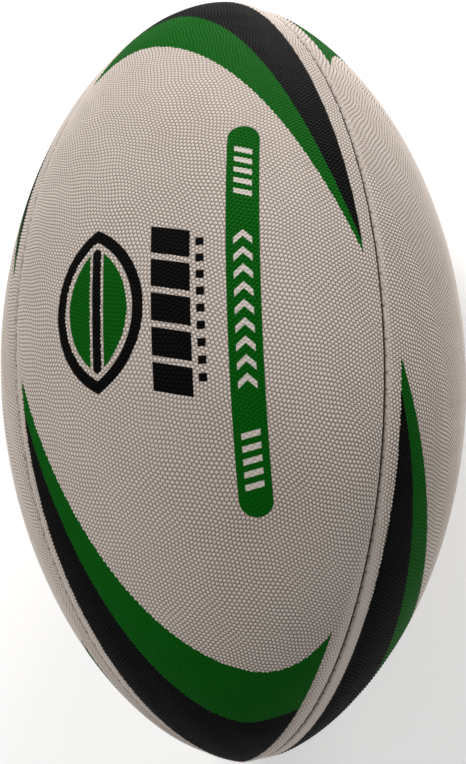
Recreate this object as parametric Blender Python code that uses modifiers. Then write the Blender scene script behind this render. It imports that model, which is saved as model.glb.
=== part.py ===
"""Rugby ball, lying on its side.

The long axis runs along X and the origin is the ball's centre. Four panels face +Z (top), -Y (front),
-Z (bottom) and +Y (back). The back panel carries the valve, whose axis is +Y. Lengths are in metres.

From the outside in, each panel is a rubber cover and two fabric plies. All three turn inwards along
the seams, where neighbouring panels are sewn face to face, and the bladder fills the space inside.
"""

import math

import bmesh
import bpy
from mathutils import Matrix, Vector

# The ball's outside
LENGTH = 0.280
DIAMETER = 0.167
TIP_POWER = 1.2  # 1.0 is a plain ellipsoid, and more draws the ends to a point

# Layers of the wall, each kept clear of the next by CLEARANCE
CLEARANCE = 0.0003
COVER_WALL = 0.0012
PLY_WALL = 0.0004
BLADDER_WALL = 0.0008
PATCH_WALL = 0.0008
VALVE_FLANGE_WALL = 0.0012

# Seams
TURNED_EDGE = 0.0022  # how far the turned-in edges reach below the inner ply
THREAD_RADIUS = 0.00035
THREAD_END_RADIUS = 0.003  # the stitching stops this far from the long axis
GROOVE_RADIUS = 0.0011

# Valve
VALVE_NECK_RADIUS = 0.0040
VALVE_NECK_RECESS = 0.0005
VALVE_STEM_DEPTH = 0.0220
VALVE_FLANGE_RADIUS = 0.0110
PATCH_RADIUS = 0.0180
CORE_RADIUS = 0.0023
CORE_LENGTH = 0.0170
CORE_RECESS = 0.0002  # below the face of the valve's neck
CORE_TIP_RADIUS = 0.0012
CORE_TAPER = 0.0030
NEEDLE_HOLE_RADIUS = 0.0009
NEEDLE_HOLE_DEPTH = 0.0030

# Facets
RING_STEPS = 16
SPIN_STEPS = 32
VALVE_STEPS = 24
THREAD_SIDES = 1  # bevel_resolution of the stitching and of its groove: 6 sides

# The wall's layers as depths below the outside
OUTER_PLY_DEPTH = COVER_WALL + CLEARANCE
INNER_PLY_DEPTH = OUTER_PLY_DEPTH + PLY_WALL + CLEARANCE
BLADDER_DEPTH = INNER_PLY_DEPTH + PLY_WALL + CLEARANCE
PATCH_DEPTH = BLADDER_DEPTH + BLADDER_WALL + CLEARANCE
VALVE_FLANGE_DEPTH = PATCH_DEPTH + PATCH_WALL + CLEARANCE
TURNED_EDGE_DEPTH = INNER_PLY_DEPTH + PLY_WALL + TURNED_EDGE
THREAD_DEPTH = GROOVE_RADIUS - CLEARANCE - THREAD_RADIUS

PANEL_TURNS = {"top": 0, "front": 1, "bottom": 2, "back": 3}
SEAM_TURNS = {"top_front": 0, "bottom_front": 1, "bottom_back": 2, "top_back": 3}
WELD = 0.000001


def clear_scene():
    for obj in list(bpy.data.objects):
        bpy.data.objects.remove(obj)


def new_collection(name):
    collection = bpy.data.collections.new(name)
    bpy.context.scene.collection.children.link(collection)
    return collection


def material(name, colour, roughness, metallic=0.0):
    made = bpy.data.materials.new(name)
    made.use_nodes = True
    shader = made.node_tree.nodes["Principled BSDF"]
    shader.inputs["Base Color"].default_value = (*colour, 1.0)
    shader.inputs["Roughness"].default_value = roughness
    shader.inputs["Metallic"].default_value = metallic
    return made


def object_from(mesh, name, collection, turn=0):
    """A new object of this mesh, turned about X by a number of quarter turns."""
    obj = bpy.data.objects.new(name, mesh)
    obj.rotation_euler.x = turn * math.pi / 2
    collection.objects.link(obj)
    return obj


def cutter_from(mesh, name, turn=0):
    obj = object_from(mesh, name, cutters, turn)
    obj.hide_render = True
    obj.display_type = "WIRE"
    return obj


def evaluated_mesh(obj):
    """The object's mesh with its modifiers applied and its loose caps welded."""
    bpy.context.view_layer.update()
    graph = bpy.context.evaluated_depsgraph_get()
    mesh = bpy.data.meshes.new_from_object(obj.evaluated_get(graph))
    bm = bmesh.new()
    bm.from_mesh(mesh)
    bmesh.ops.remove_doubles(bm, verts=bm.verts, dist=WELD)
    bmesh.ops.recalc_face_normals(bm, faces=bm.faces)
    bm.to_mesh(mesh)
    bm.free()
    return mesh


def boolean(obj, operation, other):
    modifier = obj.modifiers.new(operation.title(), "BOOLEAN")
    modifier.operation = operation
    modifier.object = other
    modifier.solver = "EXACT"


def outline_point(angle, depth):
    """A point of the ball's outline in the plane of the long axis, moved inwards by depth.

    The angle runs from 0 at the +X tip to pi at the -X tip. The result is (x, distance from the axis).
    """
    half = LENGTH / 2
    radius = DIAMETER / 2
    x = half * math.cos(angle)
    r = radius * math.sin(angle) ** TIP_POWER
    slope_x = -half * math.sin(angle)
    slope_r = radius * TIP_POWER * math.sin(angle) ** (TIP_POWER - 1) * math.cos(angle)
    length = math.hypot(slope_x, slope_r)
    return x - depth * slope_r / length, r + depth * slope_x / length


def turned_ball(depth):
    """The solid of revolution inside the ball's outline, moved inwards by depth."""
    half = LENGTH / 2 - depth
    outline = [Vector((half, 0, 0))]
    for step in range(1, RING_STEPS):
        x, r = outline_point(math.pi * step / RING_STEPS, depth)
        outline.append(Vector((x, 0, r)))
    outline.append(Vector((-half, 0, 0)))
    mesh = bpy.data.meshes.new("outline")
    mesh.from_pydata(outline, [(i, i + 1) for i in range(len(outline) - 1)], [])
    obj = cutter_from(mesh, "turned_ball")
    screw = obj.modifiers.new("Turn", "SCREW")
    screw.axis = "X"
    screw.steps = screw.render_steps = SPIN_STEPS
    screw.use_merge_vertices = True
    screw.merge_threshold = WELD
    turned = evaluated_mesh(obj)
    bpy.data.objects.remove(obj)
    return turned


def quarter_box(depth):
    """A box that keeps the top quarter of the ball, its two sides at this depth from the seams."""
    side = 2 * DIAMETER
    offset = (depth + CLEARANCE / 2) * math.sqrt(2)
    bm = bmesh.new()
    bmesh.ops.create_cube(bm, size=1)
    bmesh.ops.scale(bm, vec=(2 * LENGTH, side, side), verts=bm.verts)
    bmesh.ops.rotate(bm, matrix=Matrix.Rotation(math.pi / 4, 3, "X"), verts=bm.verts)
    bmesh.ops.translate(bm, vec=(0, 0, offset + side / math.sqrt(2)), verts=bm.verts)
    mesh = bpy.data.meshes.new("quarter_box")
    bm.to_mesh(mesh)
    bm.free()
    return mesh


def quarter_ball(depth):
    """The top quarter of the ball, moved inwards by depth from the outside and from both seams."""
    quarter = cutter_from(turned_ball(depth), "quarter")
    box = cutter_from(quarter_box(depth), "quarter_box")
    boolean(quarter, "INTERSECT", box)
    mesh = evaluated_mesh(quarter)
    bpy.data.objects.remove(quarter)
    bpy.data.objects.remove(box)
    return mesh


def panel_layer(depth, wall, cuts=()):
    """One layer of the top panel with its two turned-in edges."""
    layer = cutter_from(quarter_ball(depth), "layer")
    inside = cutter_from(quarter_ball(depth + wall), "layer_inside")
    core = cutter_from(turned_ball(TURNED_EDGE_DEPTH), "layer_core")
    boolean(layer, "DIFFERENCE", inside)
    boolean(layer, "DIFFERENCE", core)
    for cut in cuts:
        boolean(layer, "DIFFERENCE", cut)
    mesh = evaluated_mesh(layer)
    for obj in (layer, inside, core):
        bpy.data.objects.remove(obj)
    return mesh


def tube(points, radius, cyclic, name):
    """A round tube along a chain of points, as a closed mesh."""
    curve = bpy.data.curves.new(name, "CURVE")
    curve.dimensions = "3D"
    curve.bevel_depth = radius
    curve.bevel_resolution = THREAD_SIDES
    curve.use_fill_caps = not cyclic
    spline = curve.splines.new("POLY")
    spline.points.add(len(points) - 1)
    for point, place in zip(spline.points, points):
        point.co = (*place, 1)
    spline.use_cyclic_u = cyclic
    guide = cutter_from(curve, name)
    mesh = evaluated_mesh(guide)
    bpy.data.objects.remove(guide)
    return mesh


def on_seam(angle, depth, side=1):
    """A point over the seam between the top and front panels, or over the one opposite it."""
    x, r = outline_point(angle, depth)
    across = side * r / math.sqrt(2)
    return Vector((x, -across, across))


def seam_groove():
    """The shallow valley along two opposite seams, which meet at both tips."""
    half = LENGTH / 2
    inner_steps = [math.pi * step / RING_STEPS for step in range(1, RING_STEPS)]
    loop = [Vector((half, 0, 0))]
    loop += [on_seam(angle, 0) for angle in inner_steps]
    loop.append(Vector((-half, 0, 0)))
    loop += [on_seam(angle, 0, -1) for angle in reversed(inner_steps)]
    return tube(loop, GROOVE_RADIUS, True, "seam_groove")


def seam_thread():
    """The line of stitching in the valley between the top and front panels."""
    first = math.asin((2 * THREAD_END_RADIUS / DIAMETER) ** (1 / TIP_POWER))
    angles = [first]
    angles += [math.pi * step / RING_STEPS for step in range(1, RING_STEPS)]
    angles.append(math.pi - first)
    return tube([on_seam(angle, THREAD_DEPTH) for angle in angles], THREAD_RADIUS, False, "seam_thread")


def bladder_form(depth):
    """A ball at this depth under the panels, drawn in under the turned-in edges along the seams."""
    step_down = TURNED_EDGE_DEPTH + CLEARANCE - BLADDER_DEPTH
    form = cutter_from(turned_ball(depth + step_down), "bladder_form")
    lobe_mesh = quarter_ball(depth)
    lobes = []
    for turn in PANEL_TURNS.values():
        lobe = cutter_from(lobe_mesh, "lobe", turn)
        boolean(form, "UNION", lobe)
        lobes.append(lobe)
    mesh = evaluated_mesh(form)
    for obj in (form, *lobes):
        bpy.data.objects.remove(obj)
    return mesh


def valve_rod(radius, top, bottom, name):
    """A solid rod on the valve's axis, between two heights along +Y."""
    bm = bmesh.new()
    bmesh.ops.create_cone(
        bm,
        cap_ends=True,
        segments=VALVE_STEPS,
        radius1=radius,
        radius2=radius,
        depth=top - bottom,
        matrix=Matrix.Translation((0, (top + bottom) / 2, 0)) @ Matrix.Rotation(-math.pi / 2, 4, "X"),
    )
    mesh = bpy.data.meshes.new(name)
    bm.to_mesh(mesh)
    bm.free()
    return cutter_from(mesh, name)


def wall_disc(depth, wall, radius, name):
    """A disc cut from the ball's wall round the valve, which keeps the wall's curve."""
    disc = cutter_from(turned_ball(depth), name)
    inside = cutter_from(turned_ball(depth + wall), name + "_inside")
    rod = valve_rod(radius, DIAMETER, 0, name + "_rod")
    boolean(disc, "DIFFERENCE", inside)
    boolean(disc, "INTERSECT", rod)
    mesh = evaluated_mesh(disc)
    for obj in (disc, inside, rod):
        bpy.data.objects.remove(obj)
    return mesh


def finish_smooth(obj, made_of):
    obj.data.materials.clear()
    obj.data.materials.append(made_of)
    obj.data.shade_smooth()
    obj.data.set_sharp_from_angle(angle=math.radians(40))


clear_scene()
ball = new_collection("rugby_ball")
cutters = new_collection("cutters")

off_white_rubber = material("off_white_rubber", (0.55, 0.50, 0.46), 0.62)
woven_polyester = material("woven_polyester", (0.62, 0.60, 0.54), 0.85)
dark_thread = material("dark_thread", (0.035, 0.032, 0.030), 0.8)
black_rubber = material("black_rubber", (0.025, 0.025, 0.027), 0.55)
grey_rubber = material("grey_rubber", (0.14, 0.14, 0.15), 0.6)

# The hole for the valve's neck, through every layer that it passes
neck_top = DIAMETER / 2 - VALVE_NECK_RECESS
stem_bottom = DIAMETER / 2 - VALVE_STEM_DEPTH
neck_hole = valve_rod(VALVE_NECK_RADIUS + CLEARANCE, DIAMETER, stem_bottom, "neck_hole")

# Panels, each a rubber cover over two fabric plies
groove_mesh = seam_groove()
grooves = [cutter_from(groove_mesh, "seam_groove", turn) for turn in (0, 1)]
layers = {
    "cover_panel": (panel_layer(0, COVER_WALL, grooves), off_white_rubber),
    "outer_ply": (panel_layer(OUTER_PLY_DEPTH, PLY_WALL), woven_polyester),
    "inner_ply": (panel_layer(INNER_PLY_DEPTH, PLY_WALL), woven_polyester),
}
for layer_name, (layer_mesh, made_of) in layers.items():
    for place, turn in PANEL_TURNS.items():
        panel = object_from(layer_mesh.copy(), f"{layer_name}_{place}", ball, turn)
        finish_smooth(panel, made_of)
        if place == "back":
            boolean(panel, "DIFFERENCE", neck_hole)

# Stitching, one line for each seam
for place, turn in SEAM_TURNS.items():
    stitching = object_from(seam_thread(), f"seam_thread_{place}", ball, turn)
    finish_smooth(stitching, dark_thread)

# Bladder, open only where the valve's neck goes through
bladder = object_from(bladder_form(BLADDER_DEPTH), "bladder", ball)
bladder_inside = cutter_from(bladder_form(BLADDER_DEPTH + BLADDER_WALL), "bladder_inside")
boolean(bladder, "DIFFERENCE", bladder_inside)
boolean(bladder, "DIFFERENCE", neck_hole)
finish_smooth(bladder, black_rubber)

# Patch bonded to the inside of the bladder round the valve
patch = object_from(wall_disc(PATCH_DEPTH, PATCH_WALL, PATCH_RADIUS, "patch"), "valve_patch", ball)
boolean(patch, "DIFFERENCE", neck_hole)
finish_smooth(patch, grey_rubber)

# Valve housing: a flange under the patch, with a neck out to the cover and a stem into the ball
valve_flange = wall_disc(VALVE_FLANGE_DEPTH, VALVE_FLANGE_WALL, VALVE_FLANGE_RADIUS, "flange")
valve = object_from(valve_flange, "valve_body", ball)
stem = valve_rod(VALVE_NECK_RADIUS, neck_top, stem_bottom, "stem")
bore = valve_rod(CORE_RADIUS + CLEARANCE, DIAMETER, 0, "bore")
boolean(valve, "UNION", stem)
boolean(valve, "DIFFERENCE", bore)
finish_smooth(valve, black_rubber)

# Valve core: a rubber plug that pushes into the bore and seals round the inflating needle
core_top = neck_top - CORE_RECESS
core_outline = [
    Vector((0, 0, -NEEDLE_HOLE_DEPTH)),
    Vector((NEEDLE_HOLE_RADIUS, 0, -NEEDLE_HOLE_DEPTH)),
    Vector((NEEDLE_HOLE_RADIUS, 0, 0)),
    Vector((CORE_RADIUS, 0, 0)),
    Vector((CORE_RADIUS, 0, CORE_TAPER - CORE_LENGTH)),
    Vector((CORE_TIP_RADIUS, 0, -CORE_LENGTH)),
    Vector((0, 0, -CORE_LENGTH)),
]
core_mesh = bpy.data.meshes.new("core_outline")
core_mesh.from_pydata(core_outline, [(i, i + 1) for i in range(len(core_outline) - 1)], [])
core = object_from(core_mesh, "valve_core", ball, -1)
core.location.y = core_top
core_turn = core.modifiers.new("Turn", "SCREW")
core_turn.steps = core_turn.render_steps = VALVE_STEPS
core_turn.use_merge_vertices = True
core_turn.merge_threshold = WELD
finish_smooth(core, grey_rubber)
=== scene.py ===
import math

import bpy
import numpy as np
from mathutils import Matrix, Vector
from mathutils.geometry import delaunay_2d_cdt


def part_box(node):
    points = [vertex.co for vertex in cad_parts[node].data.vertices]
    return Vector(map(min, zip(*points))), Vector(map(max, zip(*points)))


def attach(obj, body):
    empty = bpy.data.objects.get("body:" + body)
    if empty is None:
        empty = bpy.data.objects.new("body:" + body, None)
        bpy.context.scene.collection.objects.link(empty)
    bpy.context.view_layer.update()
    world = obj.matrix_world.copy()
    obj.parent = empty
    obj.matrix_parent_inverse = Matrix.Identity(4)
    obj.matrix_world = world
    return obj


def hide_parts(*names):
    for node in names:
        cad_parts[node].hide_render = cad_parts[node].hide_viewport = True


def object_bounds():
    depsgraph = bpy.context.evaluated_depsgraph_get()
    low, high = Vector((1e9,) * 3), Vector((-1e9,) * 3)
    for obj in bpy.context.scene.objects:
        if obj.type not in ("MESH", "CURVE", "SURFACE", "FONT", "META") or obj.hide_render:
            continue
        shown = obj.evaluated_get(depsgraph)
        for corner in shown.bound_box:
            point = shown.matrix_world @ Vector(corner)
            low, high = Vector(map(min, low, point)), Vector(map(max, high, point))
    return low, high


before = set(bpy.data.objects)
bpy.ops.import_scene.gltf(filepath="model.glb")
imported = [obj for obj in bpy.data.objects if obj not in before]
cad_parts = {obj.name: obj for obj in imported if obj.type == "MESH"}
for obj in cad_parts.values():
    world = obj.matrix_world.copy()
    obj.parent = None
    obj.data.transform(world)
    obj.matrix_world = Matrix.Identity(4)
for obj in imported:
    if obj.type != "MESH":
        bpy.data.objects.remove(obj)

cad_low, cad_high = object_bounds()

# ---------------------------------------------------------------- bladder
# The bladder is one moulded butyl rubber bag, dusted with chalk so that it slides in under the panels as it
# fills. Air holds it against the inner plies, and it is drawn in under the four sewn seams.


class Signal:
    """One output of a shader node. Sums, products and comparisons on it add Math nodes."""

    def __init__(self, finish, socket):
        self.finish = finish
        self.socket = socket

    def maths(self, operation, *others):
        return self.finish.node("ShaderNodeMath", {"operation": operation}, dict(enumerate((self, *others))))

    def __add__(self, other):
        return self.maths("ADD", other)

    __radd__ = __add__

    def __mul__(self, other):
        return self.maths("MULTIPLY", other)

    __rmul__ = __mul__

    def __sub__(self, other):
        return self.maths("SUBTRACT", other)

    def __rsub__(self, other):
        return self * -1 + other

    def __truediv__(self, other):
        return self.maths("DIVIDE", other)

    def __pow__(self, other):
        return self.maths("POWER", other)

    def __abs__(self):
        return self.maths("ABSOLUTE")

    def least(self, other):
        return self.maths("MINIMUM", other)

    def most(self, other):
        return self.maths("MAXIMUM", other)

    def wrapped(self, period):
        """The value brought to within half a period of zero."""
        return self.maths("WRAP", period / 2, -period / 2)

    def rising(self, start, end):
        """A soft step from 0 at start to 1 at end."""
        sockets = {"Value": self, "From Min": start, "From Max": end}
        return self.finish.node("ShaderNodeMapRange", {"interpolation_type": "SMOOTHSTEP"}, sockets)

    def below(self, edge, softness):
        """1 under the edge and 0 over it, with a soft step between."""
        return 1 - (self - edge).rising(-softness, softness)


class Finish:
    """A material, built up from nodes round its Principled shader."""

    def __init__(self, name, roughness, specular):
        self.material = bpy.data.materials.new(name)
        self.material.use_nodes = True
        self.tree = self.material.node_tree
        self.shader = self.tree.nodes["Principled BSDF"]
        self.shader.inputs["Roughness"].default_value = roughness
        self.shader.inputs["Specular IOR Level"].default_value = specular

    def node(self, kind, settings=None, sockets=None, output=0):
        """Adds a node: first its settings, then the values or links of its sockets."""
        made = self.tree.nodes.new(kind)
        for name, value in (settings or {}).items():
            setattr(made, name, value)
        for name, value in (sockets or {}).items():
            self.put(made.inputs[name], value)
        return Signal(self, made.outputs[output])

    def put(self, socket, value):
        if isinstance(value, Signal):
            self.tree.links.new(value.socket, socket)
        else:
            socket.default_value = value

    def mix(self, share, first, second):
        """A colour between two, each (r, g, b, 1) or a colour signal."""
        sockets = {0: share, 6: first, 7: second}
        return self.node("ShaderNodeMix", {"data_type": "RGBA"}, sockets, output=2)

    def position(self):
        return self.node("ShaderNodeNewGeometry", output="Position")

    def noise(self, scale, detail, vector=None):
        sockets = {"Vector": vector or self.position(), "Scale": scale, "Detail": detail}
        return self.node("ShaderNodeTexNoise", sockets=sockets)

    def set(self, name, signal):
        self.put(self.shader.inputs[name], signal)

    def bump(self, height, depth):
        """Raises the surface in the light by a height signal times this depth, in metres."""
        sockets = {"Height": height, "Distance": depth}
        self.set("Normal", self.node("ShaderNodeBump", sockets=sockets))


def dress(name, finish):
    """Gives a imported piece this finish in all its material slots."""
    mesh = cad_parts[name].data
    mesh.materials.clear()
    mesh.materials.append(finish.material)


butyl_black = (0.022, 0.022, 0.024, 1)
chalk = (0.42, 0.41, 0.39, 1)
dust_scale = 60
skin_scale = 900
skin_depth = 0.00012


def dusted_rubber(name, rubber, dust, share, roughness):
    """Moulded rubber with a fine skin texture and patches of chalk dust."""
    finish = Finish(name, roughness, specular=0.4)
    patches = finish.noise(dust_scale, 5).rising(0.45, 0.75) * share
    finish.set("Base Color", finish.mix(patches, rubber, dust))
    finish.set("Roughness", roughness + patches * 0.3)
    finish.bump(finish.noise(skin_scale, 3), skin_depth)
    return finish


butyl = dusted_rubber("butyl_rubber", butyl_black, chalk, 0.5, 0.5)
dress("bladder", butyl)

# ---------------------------------------------------------------- valve patch
# A round patch of soft grey rubber, bonded to the inside of the bladder to spread the pull of the valve. Its
# edge is feathered thin, and a hole at its centre lets the valve's stem through.

patch_low, patch_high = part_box("valve_patch")
patch_radius = (patch_high.x - patch_low.x) / 2
ball_radius = (cad_high.z - cad_low.z) / 2
half_length = (cad_high.x - cad_low.x) / 2
tip_power = 1.2  # 1 is a plain ellipsoid, and more draws the ends to a point
valve_clearance = 0.0003
turned_steps = 96
arc_steps = 5
crease_angle = 40  # edges bent by more degrees than this stay sharp

outline_angles = np.linspace(0, math.pi, 4001)
outline_x = -half_length * np.cos(outline_angles)
outline_r = ball_radius * np.sin(outline_angles) ** tip_power


def wall_height(x, z):
    """How far the ball's outside lies from the long axis's plane, over a point of the back panel."""
    r = np.interp(x, outline_x, outline_r)
    return np.sqrt(np.maximum(r * r - z * z, 0))


def mesh_object(name, points, faces, finish, sharp_angle=None):
    """A new object from points and faces, shaded smooth, and sharp only over an angle if one is given."""
    mesh = bpy.data.meshes.new(name)
    mesh.from_pydata(np.asarray(points).tolist(), [], [list(map(int, face)) for face in faces])
    mesh.update()
    mesh.shade_smooth()
    if sharp_angle is not None:
        mesh.set_sharp_from_angle(angle=math.radians(sharp_angle))
    mesh.materials.append(finish.material)
    made = bpy.data.objects.new(name, mesh)
    bpy.context.scene.collection.objects.link(made)
    return made


def turned_on_valve(name, outline, finish, follow=0.0):
    """A closed ring turned on the valve's axis from an outline of (radius, depth below the ball's side).

    The depth of each point follows the curve of the ball by its own share: all of it where follow is 1.
    """
    outline = [(radius, depth, follow if len(rest) == 0 else rest[0]) for radius, depth, *rest in outline]
    turns = np.arange(turned_steps) * 2 * math.pi / turned_steps
    rings = []
    for radius, depth, share in outline:
        x = radius * np.cos(turns)
        z = radius * np.sin(turns)
        sag = (wall_height(x, z) - ball_radius) * share
        rings.append(np.stack([x, ball_radius - depth + sag, z], 1))
    faces = []
    for ring in range(len(outline)):
        following = (ring + 1) % len(outline)
        for step in range(turned_steps):
            ahead = (step + 1) % turned_steps
            faces.append((
                ring * turned_steps + ahead,
                following * turned_steps + ahead,
                following * turned_steps + step,
                ring * turned_steps + step,
            ))
    return mesh_object(name, np.concatenate(rings), faces, finish, crease_angle)


def arc(centre_radius, centre_depth, radius, first, last):
    """Points of an outline along an arc, in degrees from straight outwards towards the ball's outside."""
    angles = np.radians(np.linspace(first, last, arc_steps))
    return [(centre_radius + radius * math.cos(a), centre_depth - radius * math.sin(a)) for a in angles]


stem_radius = 0.0040
patch_top, patch_bottom = 0.0040, 0.0048
patch_hole = stem_radius + valve_clearance
feather = 0.0030
feather_edge = 0.0002
soft_grey = (0.10, 0.10, 0.105, 1)
patch_rubber = dusted_rubber("patch_rubber", soft_grey, chalk, 0.25, 0.6)
patch = turned_on_valve(
    "valve_patch_feathered",
    [
        (patch_hole, patch_top),
        (patch_radius - feather, patch_top),
        (patch_radius - feather_edge, patch_top),
        (patch_radius, patch_top + feather_edge / 2),
        (patch_radius - feather_edge, patch_top + feather_edge),
        (patch_radius - feather, patch_bottom),
        (patch_hole, patch_bottom),
    ],
    patch_rubber,
    follow=1.0,
)
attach(patch, "ball")
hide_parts("valve_patch")

# ---------------------------------------------------------------- valve housing
# The housing is one moulding of black rubber: a thin flange vulcanised under the patch, a neck that stands up
# to the cover, and a stem that reaches into the ball and squeezes the core shut. Its mouth has a rounded lip.

flange_radius = 0.0110
flange_top, flange_bottom = 0.0051, 0.0063
flange_round = 0.0006
fillet_width, fillet_height = 0.0006, 0.0008
core_radius = 0.0023
bore_radius = core_radius + valve_clearance
neck_top = ball_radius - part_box("valve_body")[1].y
stem_bottom = ball_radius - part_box("valve_body")[0].y
lip = 0.0004
housing_black = (0.018, 0.018, 0.019, 1)
housing_rubber = dusted_rubber("housing_rubber", housing_black, chalk, 0.12, 0.45)
flange_edge = arc(flange_radius - flange_round, flange_top + flange_round, flange_round, 90, -90)
housing = turned_on_valve(
    "valve_housing",
    [
        *arc(bore_radius + lip, neck_top + lip, lip, 180, 90),
        *arc(stem_radius - lip, neck_top + lip, lip, 90, 0),
        (stem_radius, flange_top - fillet_height),
        (stem_radius + fillet_width, flange_top, 1),
        *[(radius, depth, 1) for radius, depth in flange_edge],
        (stem_radius + fillet_width, flange_bottom, 1),
        (stem_radius, flange_bottom + fillet_height),
        *arc(stem_radius - lip, stem_bottom - lip, lip, 0, -90),
        *arc(bore_radius + lip, stem_bottom - lip, lip, -90, -180),
    ],
    housing_rubber,
)
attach(housing, "ball")
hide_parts("valve_body")

# ---------------------------------------------------------------- valve core
# A grey rubber plug, greased and pushed into the housing's bore. Its dished head has a small hole that the
# inflating needle goes through, and the rubber below closes behind the needle. It pulls out to be replaced.

head_depth = ball_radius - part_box("valve_core")[1].y
core_bottom = ball_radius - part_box("valve_core")[0].y
needle_hole = 0.0009
needle_depth = 0.0030
needle_chamfer = 0.0002
needle_round = 0.0001
dish = 0.00035
dish_rim = 0.0007
core_lip = 0.0003
core_taper = 0.0030
core_tip = 0.0012
tip_chamfer = 0.0002
core_grey = (0.16, 0.16, 0.165, 1)
core_rubber = dusted_rubber("core_rubber", core_grey, chalk, 0.1, 0.5)
hub = 0.00002  # the outline stops this short of the axis, where the ring of faces closes to a point
core = turned_on_valve(
    "valve_core_plug",
    [
        (hub, head_depth + needle_depth),
        (needle_hole * 0.6, head_depth + needle_depth - needle_round),
        (needle_hole * 0.75, head_depth + needle_depth * 0.6),
        (needle_hole, head_depth + dish + needle_chamfer),
        (needle_hole + needle_chamfer, head_depth + dish),
        (core_radius - dish_rim, head_depth + dish * 0.6),
        *arc(core_radius - core_lip, head_depth + core_lip, core_lip, 110, 0),
        (core_radius, core_bottom - core_taper),
        (core_tip + tip_chamfer, core_bottom - tip_chamfer),
        (core_tip - tip_chamfer, core_bottom),
        (hub, core_bottom),
    ],
    core_rubber,
)
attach(core, "valve_core")
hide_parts("valve_core")

# ---------------------------------------------------------------- fabric plies
# Each panel is backed by two plies of coated polyester and cotton cloth, which keep the ball from growing as
# it is blown up. They are laminated to the cover, cut with it, and turned in at the seams.

weave_pitch = 0.0009
yarn_height = 0.0002
slub_scale = 260
raw_yarn, raw_shadow = (0.56, 0.53, 0.46, 1), (0.20, 0.18, 0.15, 1)
coated_yarn, coated_shadow = (0.66, 0.65, 0.61, 1), (0.25, 0.24, 0.22, 1)


def woven(name, yarn, shadow, turn):
    """Plain-weave cloth, its yarns turned by an angle from the ball's length."""
    finish = Finish(name, 0.85, specular=0.25)
    x, y, z = (finish.node("ShaderNodeSeparateXYZ", sockets={0: finish.position()}, output=n) for n in "XYZ")
    round_ball = y.maths("ARCTAN2", z) * ball_radius
    warp = (x * math.cos(turn) + round_ball * math.sin(turn)) * (math.pi / weave_pitch)
    weft = (round_ball * math.cos(turn) - x * math.sin(turn)) * (math.pi / weave_pitch)
    over = warp.maths("SINE") * weft.maths("SINE")
    crown = abs(warp.maths("SINE")).most(abs(weft.maths("SINE"))) + over * 0.25
    slubs = finish.noise(slub_scale, 3).rising(0.35, 0.7)
    finish.set("Base Color", finish.mix(crown.rising(0.35, 1.1) * (0.75 + slubs * 0.25), shadow, yarn))
    finish.bump(crown, yarn_height)
    return finish


inner_cloth = woven("inner_ply_cloth", raw_yarn, raw_shadow, math.radians(45))
outer_cloth = woven("outer_ply_cloth", coated_yarn, coated_shadow, 0.0)
for place in ("top", "front", "bottom", "back"):
    dress("inner_ply_" + place, inner_cloth)
    dress("outer_ply_" + place, outer_cloth)

# ---------------------------------------------------------------- cover panels
# Four lens-shaped panels of pale moulded rubber make the cover, two printed in full and two with the corner
# sweeps only. Each is covered in fine round pimples for grip, printed flat, cut out, sewn inside out to its
# neighbours and turned, so that its edges roll over into the seams.

pimple_pitch = 0.0013
pimple_turn = math.radians(17)
pimple_drifts = ((0.0009, 0.041), (0.0003, 0.0135))
pimple_height = 0.00040
lattice_share = 0.3  # how much of the edges' roll the lattice of pimples covers
roll_shares = (0.45, 0.65, 0.83, 1.0)  # rows of points round the rest of it
pimple_reach = 0.0004  # pimples stop this far past the start of the roll
cover_wall = 0.0012
seam_gap = 0.00015  # from the seam's plane to each turned-in edge
edge_roll = 0.0011
stitch_length = 0.0050
seam_dip = 0.0005
dip_reach = 0.0032
inside_dip = 0.5  # the inside follows the seam's dip by this share
edge_foot = 0.0787  # from the long axis to the foot of the turned-in edges, at the ball's middle
turned_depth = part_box("cover_panel_top")[1].z - edge_foot
narrow = 0.008  # where half a panel is narrower than this, its edge shrinks in proportion
near_strip, near_height = 0.0016, 0.70  # the pressed strip along one seam: its width, and its pimples' height
far_strip, far_height = 0.0006, 0.95  # the same along the other seam
fully_pressed = 0.3  # the share of a strip over which they don't rise yet
foot_start, foot_full = 0.03, 0.11  # from the ball's middle to where one end is pressed harder
foot_widening, near_loss, far_loss = 0.0046, 0.45, 0.40  # how much wider and lower it is there
least_mark = 0.05  # where pimples are lower than this share, the edges round them aren't sharp
edge_step = 0.00065
tip_step = 0.0015
skin_step = 0.0045
valve_hole = stem_radius + valve_clearance
hole_steps = 64
hole_rows = (0.0, 0.0002, 0.0005)  # rings of points, this far out from the hole
hole_drops = (0.00035, 0.0001)  # how far the first two of them are rounded down
hole_margin = 0.0009  # the lattice starts this far out from it
hole_pad = 0.0075  # the cover is smooth this far round the valve
pad_fade = 0.001

outline_run = np.concatenate([[0], np.cumsum(np.hypot(np.diff(outline_x), np.diff(outline_r)))])
outline_run -= outline_run[-1] / 2
half_run = outline_run[-1]
outline_slope = np.arctan2(np.gradient(outline_r), np.gradient(outline_x))


def half_width(along):
    """Half the width of a panel, from its middle line to the seam's plane."""
    return np.interp(along, outline_run, outline_r) * math.pi / 4


def edge_scale(along):
    """The share of its full size that a panel's edge has, which shrinks towards the tips."""
    return np.clip(half_width(along) / narrow, 1e-6, 1)


def on_panel(along, from_seam, side, depth):
    """Points of the top panel, at a distance from the seam on one side and a depth below the outside."""
    r = np.maximum(np.interp(along, outline_run, outline_r), 1e-9)
    slope = np.interp(along, outline_run, outline_slope)
    turn = side * (math.pi / 4 - from_seam / r)
    x = np.interp(along, outline_run, outline_x) + depth * np.sin(slope)
    out = r - depth * np.cos(slope)
    return np.stack([x, -out * np.sin(turn), out * np.cos(turn)], 1)


def seam_valley(from_seam):
    """How much of the seam's dip is felt at a distance from it."""
    return np.exp(-((from_seam / dip_reach) ** 2))


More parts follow.
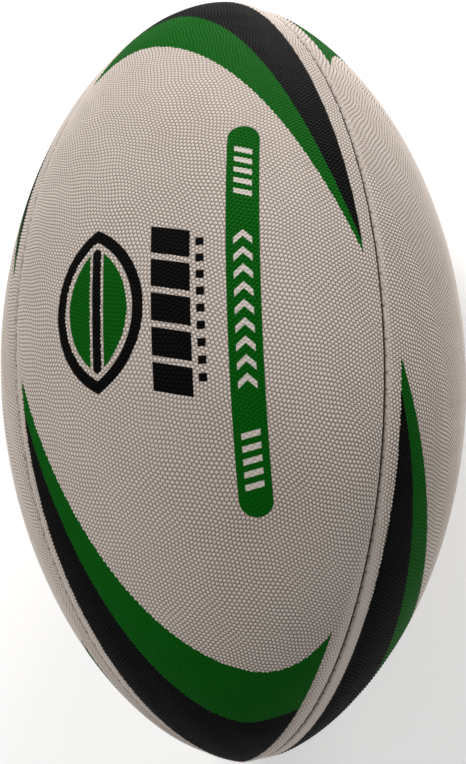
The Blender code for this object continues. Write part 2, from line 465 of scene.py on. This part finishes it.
def outside_edge(along):
    """Half-widths of the outside, laid flat: up to the roll, to the roll's end, and to the turned-in edge."""
    scale = edge_scale(along)
    flat = half_width(along) - (seam_gap + edge_roll) * scale
    rolled = flat + edge_roll * scale * math.pi / 2
    return flat, rolled, rolled + (turned_depth - pimple_height - seam_dip - edge_roll) * scale


def outside_points(along, across, lift):
    """Points of the outside from their places laid flat and their lift, and how far each is from the seam."""
    scale = edge_scale(along)
    flat, rolled, _ = outside_edge(along)
    roll = edge_roll * scale
    angle = np.clip((np.abs(across) - flat) / roll, 0, math.pi / 2)
    rolled_in = seam_gap * scale + roll * (1 - np.sin(angle))
    from_seam = np.where(angle > 0, rolled_in, half_width(along) - np.abs(across))
    depth = (pimple_height + seam_dip * seam_valley(from_seam)) * scale + roll * (1 - np.cos(angle))
    depth += np.maximum(np.abs(across) - rolled, 0)
    return on_panel(along, from_seam, np.sign(across), depth - lift * scale), from_seam


def inside_edge(along):
    """Half-widths of the inside, laid flat: up to the corner, down the turned-in edge, and across its end."""
    scale = edge_scale(along)
    corner = half_width(along) - (seam_gap + cover_wall) * scale
    foot = corner + (turned_depth - cover_wall) * scale
    return corner, foot, foot + cover_wall * scale


def inside_points(along, across):
    """Points of the inside from their places laid flat."""
    scale = edge_scale(along)
    corner, foot, _ = inside_edge(along)
    down = np.clip((np.abs(across) - corner) / (foot - corner), 0, 1)
    under = np.maximum(np.abs(across) - foot, 0)
    turned_in = (seam_gap + cover_wall) * scale - under
    from_seam = np.where(down > 0, turned_in, half_width(along) - np.abs(across))
    skin = (cover_wall + inside_dip * seam_dip * seam_valley(from_seam)) * scale
    return on_panel(along, from_seam, np.sign(across), skin + (turned_depth * scale - skin) * down)


def lattice(step, half_across, turn=0.0, drifts=()):
    """A triangular lattice inside a panel, as (along, across, row, place in the row).

    It is turned by an angle, and its rows wander by each drift, a (distance, wavelength) pair.
    """
    reach = 1.1 * half_run
    row_step = step * math.sqrt(3) / 2
    rows = np.arange(-int(reach / row_step), int(reach / row_step) + 1)
    places = np.arange(-int(reach / step), int(reach / step) + 1)
    row, number = (grid.ravel() for grid in np.meshgrid(rows, places))
    u = row * row_step
    v = (number + (row % 2) / 2) * step
    along = u * math.cos(turn) - v * math.sin(turn)
    across = u * math.sin(turn) + v * math.cos(turn)
    for distance, wavelength in drifts:
        wave = 2 * math.pi / wavelength
        swing = distance * np.sin(across * wave + 1.3 + along * wave * 0.35)
        across = across + distance * np.sin(along * wave + 4.1 - across * wave * 0.25)
        along = along + swing
    keep = (np.abs(along) < half_run) & (np.abs(across) < half_across(along))
    return np.stack([along, across, row, number], 1)[keep]


def triangles(points):
    """The Delaunay triangles of points laid flat, in metres."""
    laid = [Vector((float(a) * 1000, float(b) * 1000)) for a, b in points]
    found = delaunay_2d_cdt(laid, [], [], 0, 1e-6, False)
    if len(found[0]) != len(points):
        raise ValueError("two points of a panel fell together")
    return np.array(found[2])


def soft_step(value, start, end):
    share = np.clip((value - start) / (end - start), 0, 1)
    return share * share * (3 - 2 * share)


def edge_rows(stations, widths):
    """Rows of points along both edges of a panel, at each of these half-widths."""
    rows = [np.stack([stations, side * width], 1) for width in widths for side in (1, -1)]
    return np.concatenate(rows)


def cover_mesh(holed):
    """One panel facing up: its points, faces, places laid flat, pimple marks and laid-out map."""
    count = int(2 * (half_run - tip_step) / edge_step)
    stations = np.linspace(tip_step - half_run, half_run - tip_step, count)
    flat, rolled, rim = outside_edge(stations)
    steps = [flat + (rolled - flat) * share for share in roll_shares]
    tips = np.array([[-half_run, 0.0], [half_run, 0.0]])
    loop = np.concatenate([edge_rows(stations, [rim]), tips])
    grid = lattice(
        pimple_pitch / 2,
        lambda a: outside_edge(a)[0] * (1 - lattice_share) + outside_edge(a)[1] * lattice_share,
        turn=pimple_turn,
        drifts=pimple_drifts,
    )
    ring_turns = np.arange(hole_steps) * 2 * math.pi / hole_steps
    circle = np.stack([np.cos(ring_turns), np.sin(ring_turns)], 1)
    if holed:
        grid = grid[np.hypot(grid[:, 0], grid[:, 1]) > valve_hole + hole_margin]
        rings = np.concatenate([circle * (valve_hole + wider) for wider in hole_rows])
    else:
        rings = np.zeros((0, 2))
    rows = edge_rows(stations, [*steps, rolled + (rim - rolled) / 2])
    laid = np.concatenate([loop, rings, rows, grid[:, :2]])
    along, across = laid[:, 0], laid[:, 1]

    # Pimples stand on every second point of every second row. They are pressed flatter beside the seams, more
    # so beside one of them and towards one end, and fade out round the valve.
    row = np.concatenate([np.ones(len(laid) - len(grid)), grid[:, 2]])
    number = np.concatenate([np.zeros(len(laid) - len(grid)), grid[:, 3]])
    from_edge = outside_edge(along)[0] - np.abs(across)
    foot_end = soft_step(-along, foot_start, foot_full)
    pressed_width = np.where(across < 0, near_strip, far_strip) + foot_widening * foot_end
    pressed = np.where(across < 0, near_height - near_loss * foot_end, far_height - far_loss * foot_end)
    fade = pressed + (1 - pressed) * soft_step(from_edge, pressed_width * fully_pressed, pressed_width)
    fade *= from_edge > -pimple_reach
    if holed:
        fade *= soft_step(np.hypot(along, across), hole_pad - pad_fade, hole_pad)
    is_grid = np.arange(len(laid)) >= len(laid) - len(grid)
    peak = is_grid & (row % 2 == 0) & ((number - row / 2) % 2 == 0)
    lift = np.where(peak, fade * pimple_height, 0)
    if holed:
        for ring, drop in enumerate(hole_drops):
            first = len(loop) + ring * hole_steps
            lift[first:first + hole_steps] = -drop
    points, from_seam = outside_points(along, across, lift)
    points[len(loop) - 2:len(loop)] = [[-half_length, 0, 0], [half_length, 0, 0]]
    outer = triangles(laid)[:, ::-1]

    # The inside shares the outside's loop of points along the foot of the turned-in edges
    heel = inside_edge(stations)[2]
    inner_loop = np.concatenate([edge_rows(stations, [heel]), tips])
    coarse = stations[::4]
    inner_rows = edge_rows(coarse, inside_edge(coarse)[:2])
    skin = lattice(skin_step, lambda a: inside_edge(a)[0] - skin_step / 3)[:, :2]
    inner_rings = circle * valve_hole if holed else np.zeros((0, 2))
    if holed:
        skin = skin[np.hypot(skin[:, 0], skin[:, 1]) > valve_hole + skin_step / 3]
    inner_laid = np.concatenate([inner_loop, inner_rings, inner_rows, skin])
    inner = triangles(inner_laid)
    inner_points = inside_points(inner_laid[len(loop):, 0], inner_laid[len(loop):, 1])
    renumber = np.concatenate([np.arange(len(loop)), len(laid) + np.arange(len(inner_laid) - len(loop))])

    # The faces across the hole make way for its wall
    wall = np.zeros((0, 3), int)
    if holed:
        outer = outer[np.hypot(*laid[outer].mean(1).T) > valve_hole * 0.999]
        inner = inner[np.hypot(*inner_laid[inner].mean(1).T) > valve_hole * 0.999]
        near = len(loop) + np.arange(hole_steps)
        far = len(laid) + np.arange(hole_steps)
        ahead, far_ahead = np.roll(near, -1), np.roll(far, -1)
        wall = np.concatenate([np.stack([near, far, ahead], 1), np.stack([ahead, far, far_ahead], 1)])

    faces = np.concatenate([outer, renumber[inner], wall])
    every_point = np.concatenate([points, inner_points])
    spare = len(inner_points)
    place = np.stack([along, across, from_seam], 1) * 1000
    place = np.concatenate([place, np.stack([*inner_laid[len(loop):].T, np.zeros(spare)], 1) * 1000])
    grip = np.concatenate([fade * is_grid, np.zeros(spare)])
    crown = np.concatenate([fade * peak, np.zeros(spare)])
    is_low = np.concatenate([is_grid & ~peak & (fade > least_mark), np.zeros(spare, bool)])

    # Laid-out map: the outside in the lower half, the inside in the upper half, the hole's wall in a corner
    half_length_on_map, half_width_on_map = 0.49, 0.24
    wall_corner, wall_length_on_map, wall_top_on_map = 0.01, 0.1, 0.03

    def laid_out(flat_points, widest, middle):
        u = 0.5 + half_length_on_map * flat_points[:, 0] / half_run
        v = middle + half_width_on_map * flat_points[:, 1] / widest
        return np.stack([u, v], 1)

    corners = [laid_out(laid, rim.max(), 0.25)[outer], laid_out(inner_laid, heel.max(), 0.75)[inner]]
    if holed:
        u = wall_corner + wall_length_on_map * np.arange(hole_steps + 1) / hole_steps
        low = np.stack([u, np.full(hole_steps + 1, wall_corner)], 1)
        high = np.stack([u, np.full(hole_steps + 1, wall_top_on_map)], 1)
        corners.append(np.stack([low[:-1], high[:-1], low[1:]], 1))
        corners.append(np.stack([low[1:], high[:-1], high[1:]], 1))
    return every_point, faces, place, grip, crown, is_low, np.concatenate(corners).reshape(-1, 2)


def cover_panel(name, quarter_turns, finish, shape):
    """A panel turned to its place round the long axis, with its marks, sharp low edges and bake map."""
    points, faces, place, grip, crown, is_low, corners = shape
    turned = points @ np.array(Matrix.Rotation(quarter_turns * math.pi / 2, 3, "X")).T
    panel = mesh_object(name, turned, faces, finish)
    mesh = panel.data
    marks = mesh.attributes
    marks.new("place", "FLOAT_VECTOR", "POINT").data.foreach_set("vector", place.astype(np.float32).ravel())
    marks.new("grip", "FLOAT", "POINT").data.foreach_set("value", grip.astype(np.float32))
    marks.new("crown", "FLOAT", "POINT").data.foreach_set("value", crown.astype(np.float32))
    ends = np.zeros(len(mesh.edges) * 2, np.int32)
    mesh.edges.foreach_get("vertices", ends)
    ends = ends.reshape(-1, 2)
    sharp = is_low[ends[:, 0]] & is_low[ends[:, 1]]
    marks.new("sharp_edge", "BOOLEAN", "EDGE").data.foreach_set("value", sharp)
    bake_map = mesh.uv_layers.new(name="OFBake")
    order = np.zeros(len(mesh.loops), np.int32)
    mesh.loops.foreach_get("vertex_index", order)
    if not np.array_equal(order, faces.ravel()):
        raise ValueError("the faces of a panel changed their order")
    bake_map.data.foreach_set("uv", corners.astype(np.float32).ravel())
    return panel


cream = (0.80, 0.71, 0.645, 1)
cream_shade = (0.66, 0.575, 0.515, 1)
# a brown used for dirt and painted shade along the seams, and for painted shade in the hollows between the
# pimples
grime_and_shade = (0.16, 0.12, 0.095, 1)
thread_stain = (0.030, 0.019, 0.013, 1)
ink_green = (0.001, 0.105, 0.003, 1)
ink_black = (0.0018, 0.0018, 0.0021, 1)
ink_white = (0.70, 0.64, 0.58, 1)
cloud_scale = 18
dirt_scale = 120
wear_scale = 25
grain_scale = 2600
grain_depth = 0.00004
scratch_stretch = (0.35, 1.6, 0.0)
scratch_scale = 0.55
worn_start, worn_full = 105, 150  # millimetres from the middle towards the ends
print_edge = 0.13  # how soft the edge of the print is, in millimetres, as every size of the print below


def sweep_line(over, highest, bend, long_side, short_side):
    """How far out along the panel a sweep starts: furthest at its bend, and less to both sides of it.

    Each side is (drop, run, curve): the line has dropped that much at that run from the bend.
    """
    drop, run, curve = long_side
    short_drop, short_run, short_curve = short_side
    past = ((over - bend).most(0) / run) ** curve
    before = ((bend - over).most(0) / short_run) ** short_curve
    return highest - drop * past - short_drop * before


def sweeps(along, across, rim, print_shift):
    """Masks of the green and of the black sweep, which repeat half a turn round at the panel's other end.

    They stop at a margin along the seams. The shift is how far the print sits to one side of its panel there.
    """
    end = along.maths("SIGN")
    out = along * end
    over = across * end
    green_line = sweep_line(over, 106.9, -17.9, (89.5 - end * 4.5, 76.0, 1.7), (14.7, 24.0, 2))
    black_line = sweep_line(over, 129.6, -9.2, (101.0 - end * 1.5, 65.2, 1.55), (3.6, 13.8, 1.5))
    middle_margin, widening_start, widening_full = 5.8, 20, 110
    widening = 1.75 + end * 0.55 + across.maths("SIGN") * print_shift
    margin = middle_margin + widening * out.rising(widening_start, widening_full)
    inside = 1 - rim.below(margin, print_edge)
    late_start = (1 + end) * print_shift * 0.7
    green = (out - green_line - late_start).rising(-print_edge, print_edge) * inside
    black = (out - black_line - late_start).rising(-print_edge, print_edge) * inside
    return green, black


def badge(along, across):
    """A plain oval ring round a striped oval, as masks of black and of green."""
    middle_along, middle_across = 5.6, -22.9
    arc_radius, arc_middle = 27.4, 12.0
    line, heart_gap, stripe_width = 3.4, 1.7, 3.0
    x = along - middle_along
    y = across - middle_across
    depth = (x ** 2 + (abs(y) + arc_middle) ** 2) ** 0.5 - arc_radius
    ring = depth.below(0, print_edge) * (1 - depth.below(-line, print_edge))
    heart = depth.below(-line - heart_gap, print_edge)
    stripe = abs(y).below(stripe_width / 2, print_edge)
    return ring.most(heart * stripe), heart * (1 - abs(y).below(stripe_width / 2 + heart_gap / 2, print_edge))


def blocks(along, across):
    """A row of five slanted blocks with a line of small squares under it."""
    middle_along, middle_across, lean = 3.4, 0.7, 0.22
    half_row, half_height = 24.6, 5.8
    block_pitch, half_block = 10.0, 4.1
    squares_along, squares_across = 3.1, 9.3
    half_squares, square_pitch, half_square = 22.0, 4.9, 1.2
    leaned = along - middle_along + (across - middle_across) * lean
    row = abs(leaned).below(half_row, print_edge) * abs(across - middle_across).below(half_height, print_edge)
    bold = row * abs(leaned.wrapped(block_pitch)).below(half_block, print_edge)
    beside = along - squares_along
    square = abs(beside.wrapped(square_pitch)).below(half_square, print_edge)
    square = square * abs(across - squares_across).below(half_square, print_edge)
    return bold.most(square * abs(beside).below(half_squares, print_edge))


def label(along, across):
    """A long green bar with round ends, and the pale chevrons and bars in it."""
    middle_along, middle_across = 2.55, 21.6
    half_straight, end_radius, half_marks = 53.9, 4.9, 2.7
    chevrons_along, chevron_point = 1.5, 0.9
    half_chevrons, chevron_pitch, half_chevron = 23.4, 5.2, 1.0
    dashes_out, dash_lean = 42.5, 0.25
    half_dashes, dash_pitch, half_dash = 9.0, 3.6, 0.85
    x = along - middle_along
    y = across - middle_across
    beyond = (abs(x) - half_straight).most(0)
    bar = (beyond ** 2 + y ** 2) ** 0.5
    inside = abs(y).below(half_marks, print_edge)
    pointed = x - chevrons_along + abs(y) * chevron_point
    chevrons = abs(pointed.wrapped(chevron_pitch)).below(half_chevron, print_edge)
    chevrons = chevrons * abs(pointed).below(half_chevrons, print_edge)
    leaned = abs(x) - dashes_out + y * dash_lean
    dashes = abs(leaned.wrapped(dash_pitch)).below(half_dash, print_edge)
    dashes = dashes * abs(leaned).below(half_dashes, print_edge)
    return bar.below(end_radius, print_edge), chevrons.most(dashes) * inside


def printed_rubber(name, full_print, print_shift):
    """Moulded pale rubber with printed inks, painted shade between the pimples, seam dirt and shade, and
    scuffed ends.
    """
    finish = Finish(name, 0.6, specular=0.05)
    place = finish.node("ShaderNodeAttribute", {"attribute_name": "place"}, output="Vector")
    grip = finish.node("ShaderNodeAttribute", {"attribute_name": "grip"}, output="Fac")
    crown = finish.node("ShaderNodeAttribute", {"attribute_name": "crown"}, output="Fac")
    along, across, rim = (finish.node("ShaderNodeSeparateXYZ", sockets={0: place}, output=n) for n in "XYZ")
    green, black = sweeps(along, across, rim, print_shift)
    if full_print:
        badge_black, badge_green = badge(along, across)
        bar, marks = label(along, across)
        green = green.most(badge_green).most(bar)
        black = black.most(badge_black).most(blocks(along, across))
    tops = crown.rising(0.0, 0.4)
    low_spots = (1 - tops) * grip
    clouds = finish.noise(cloud_scale, 4)
    rubber = finish.mix(clouds.rising(0.3, 0.75) * 0.35, cream, cream_shade)
    # painted shade: the low spots between the pimples are darkened towards a brown
    rubber = finish.mix(low_spots * (0.58 + clouds * 0.3), rubber, grime_and_shade)
    # dirt and painted shade: the rubber is darkened, patchily, where it rolls into the seam's crease
    seam_dirt_and_shade = rim.below(0.9, 0.6) * (0.2 + finish.noise(dirt_scale, 4) * 0.5)
    rubber = finish.mix(seam_dirt_and_shade, rubber, grime_and_shade)
    needle_holes = abs(along.wrapped(stitch_length * 1000)).below(0.4, 0.3) * rim.below(0.75, 0.3)
    rubber = finish.mix(needle_holes * 0.7, rubber, thread_stain)
    colour = finish.mix(green, rubber, ink_green)
    colour = finish.mix(black, colour, ink_black)
    if full_print:
        colour = finish.mix(marks, colour, ink_white)
    stretched = finish.node("ShaderNodeVectorMath", {"operation": "MULTIPLY"}, {0: place, 1: scratch_stretch})
    scratches = finish.noise(scratch_scale, 6, stretched).rising(0.68, 0.74)
    worn_end = abs(along).rising(worn_start, worn_full) * finish.noise(wear_scale, 3).rising(0.5, 0.62)
    scuff = (scratches * worn_end * (0.4 + tops * 0.6)).least(1)
    colour = finish.mix(scuff * 0.6, colour, cream)
    finish.set("Base Color", colour)
    inked = green.most(black)
    finish.set("Roughness", 0.62 - inked * 0.14 + low_spots * 0.12 + scuff * 0.15)
    grain = finish.noise(grain_scale, 3)
    finish.bump(grain + inked * 0.15 * tops, grain_depth)
    return finish


full_cover = printed_rubber("cover_rubber_printed", full_print=True, print_shift=0.0)
plain_cover = printed_rubber("cover_rubber_plain", full_print=False, print_shift=2.5)
whole_panel = cover_mesh(holed=False)
panels = {
    "top": (0, full_cover, whole_panel),
    "front": (1, plain_cover, whole_panel),
    "bottom": (2, full_cover, whole_panel),
    "back": (3, plain_cover, cover_mesh(holed=True)),
}
for place, (turns, finish, shape) in panels.items():
    panel = cover_panel("pimpled_cover_" + place, turns, finish, shape)
    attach(panel, "ball")
    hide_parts("cover_panel_" + place)

# ---------------------------------------------------------------- seam stitching
# Dark waxed polyester thread sews each pair of panels together. It shows at the bottom of the valley as a row
# of short stitches, each of which dives between the two turned-in edges before the next.

thread_radius = 0.00028
seat = edge_roll - math.sqrt((edge_roll + thread_radius) ** 2 - (edge_roll + seam_gap) ** 2)
thread_depth = pimple_height + seam_dip + seat
dive = 0.00025
dive_sharpness = 6  # how short the dive is against the stitch
sway = 0.00008
thread_step = 0.0004
thread_sides = 8
thread_start = 0.0035  # from the tip, along the seam
least_thread = 0.5  # the share of its full size that the thread keeps at the tips
wax_brown, fuzz_brown = (0.018, 0.011, 0.008, 1), (0.070, 0.045, 0.034, 1)
fuzz_scale = 1800
fuzz_depth = 0.00008

thread_finish = Finish("waxed_thread", 0.7, specular=0.3)
fuzz = thread_finish.noise(fuzz_scale, 3)
thread_finish.set("Base Color", thread_finish.mix(fuzz, wax_brown, fuzz_brown))
thread_finish.bump(fuzz, fuzz_depth)


def stitched_line():
    """The middle line of the stitching between the top and front panels."""
    along = np.arange(thread_start - half_run, half_run - thread_start, thread_step)
    phase = along / stitch_length
    dip = np.abs(np.cos(math.pi * phase)) ** dive_sharpness
    scale = edge_scale(along)
    depth = (thread_depth + dive * dip) * scale
    return on_panel(along, sway * np.sin(2 * math.pi * phase), np.ones(len(along)), depth), scale


def thread_mesh(points, scale):
    """A round thread along a line of points, closed at both ends."""
    ahead = np.gradient(points, axis=0)
    ahead /= np.linalg.norm(ahead, axis=1)[:, None]
    out = np.cross(ahead, [0, 1, 1])
    out /= np.linalg.norm(out, axis=1)[:, None]
    beside = np.cross(ahead, out)
    rings = []
    for side in range(thread_sides):
        turn = 2 * math.pi * side / thread_sides
        reach = thread_radius * np.maximum(scale, least_thread)[:, None]
        rings.append(points + reach * (math.cos(turn) * out + math.sin(turn) * beside))
    rings = np.stack(rings, 1).reshape(-1, 3)
    faces = []
    for step in range(len(points) - 1):
        for side in range(thread_sides):
            corner = step * thread_sides + side
            beyond = step * thread_sides + (side + 1) % thread_sides
            faces.append((corner, beyond, beyond + thread_sides, corner + thread_sides))
    faces.append(tuple(range(thread_sides))[::-1])
    faces.append(tuple(range(len(rings) - thread_sides, len(rings))))
    return rings, faces


thread_points, thread_faces = thread_mesh(*stitched_line())
for turns, place in enumerate(("top_front", "bottom_front", "bottom_back", "top_back")):
    turned = thread_points @ np.array(Matrix.Rotation(turns * math.pi / 2, 3, "X")).T
    thread = mesh_object("stitching_" + place, turned, thread_faces, thread_finish)
    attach(thread, "ball")
    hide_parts("seam_thread_" + place)

# ---------------------------------------------------------------- floor, lights and camera
# The ball lies on a plain pale floor. Two soft key lights stand beyond one end, one low and one high, in an
# even pale surround. The camera looks down on the ball from over its printed side.

floor_size = 60
floor_white, floor_shade = (0.9, 0.9, 0.9, 1), (0.86, 0.86, 0.86, 1)
floor_glow = 0.36
bpy.ops.mesh.primitive_plane_add(size=floor_size, location=(0, 0, cad_low.z))
floor = bpy.context.object
floor.name = "floor"
floor_finish = Finish("pale_floor", 0.7, specular=0.2)
floor_cloud = floor_finish.noise(3, 2)
floor_finish.set("Base Color", floor_finish.mix(floor_cloud, floor_shade, floor_white))
floor_finish.set("Emission Color", (1, 1, 1, 1))
floor_finish.set("Emission Strength", floor_glow)
floor.data.materials.append(floor_finish.material)

light_size = 0.6
light_colour = (1.0, 0.98, 0.96)
surround_strength = 0.32


def soft_light(name, place, watts):
    """A square soft light at a place, aimed at the ball."""
    lamp = bpy.data.lights.new(name, "AREA")
    lamp.size = light_size
    lamp.energy = watts
    lamp.color = light_colour
    stand = bpy.data.objects.new(name, lamp)
    bpy.context.scene.collection.objects.link(stand)
    stand.location = place
    stand.rotation_euler = (-Vector(place)).to_track_quat("-Z", "Y").to_euler()


soft_light("low_key_light", place=(2.78, -1.01, 0.42), watts=54)
soft_light("high_key_light", place=(1.67, 0.96, 2.30), watts=42)
world = bpy.data.worlds.new("pale_surround")
world.use_nodes = True
world.node_tree.nodes["Background"].inputs["Color"].default_value = (1, 1, 1, 1)
world.node_tree.nodes["Background"].inputs["Strength"].default_value = surround_strength
bpy.context.scene.world = world
bpy.context.scene.view_settings.view_transform = "Standard"

camera_place = (-0.00003, -0.00626, 0.32696)  # across, up and back from the ball, as the camera faces
lens_length = 41.5
sensor_width = 36
round_to_front = math.radians(12.34)
tilt = math.radians(8.15)
camera_roll = math.radians(-1.98)
camera = bpy.data.objects.new("camera", bpy.data.cameras.new("camera"))
bpy.context.scene.collection.objects.link(camera)
facing = (
    Matrix.Rotation(round_to_front, 4, "X")
    @ Matrix.Rotation(-math.pi / 2, 4, "Z")
    @ Matrix.Rotation(tilt, 4, "X")
    @ Matrix.Rotation(camera_roll, 4, "Z")
)
camera.matrix_world = facing @ Matrix.Translation(camera_place)
camera.data.lens = lens_length
camera.data.sensor_width = sensor_width
bpy.context.scene.camera = camera
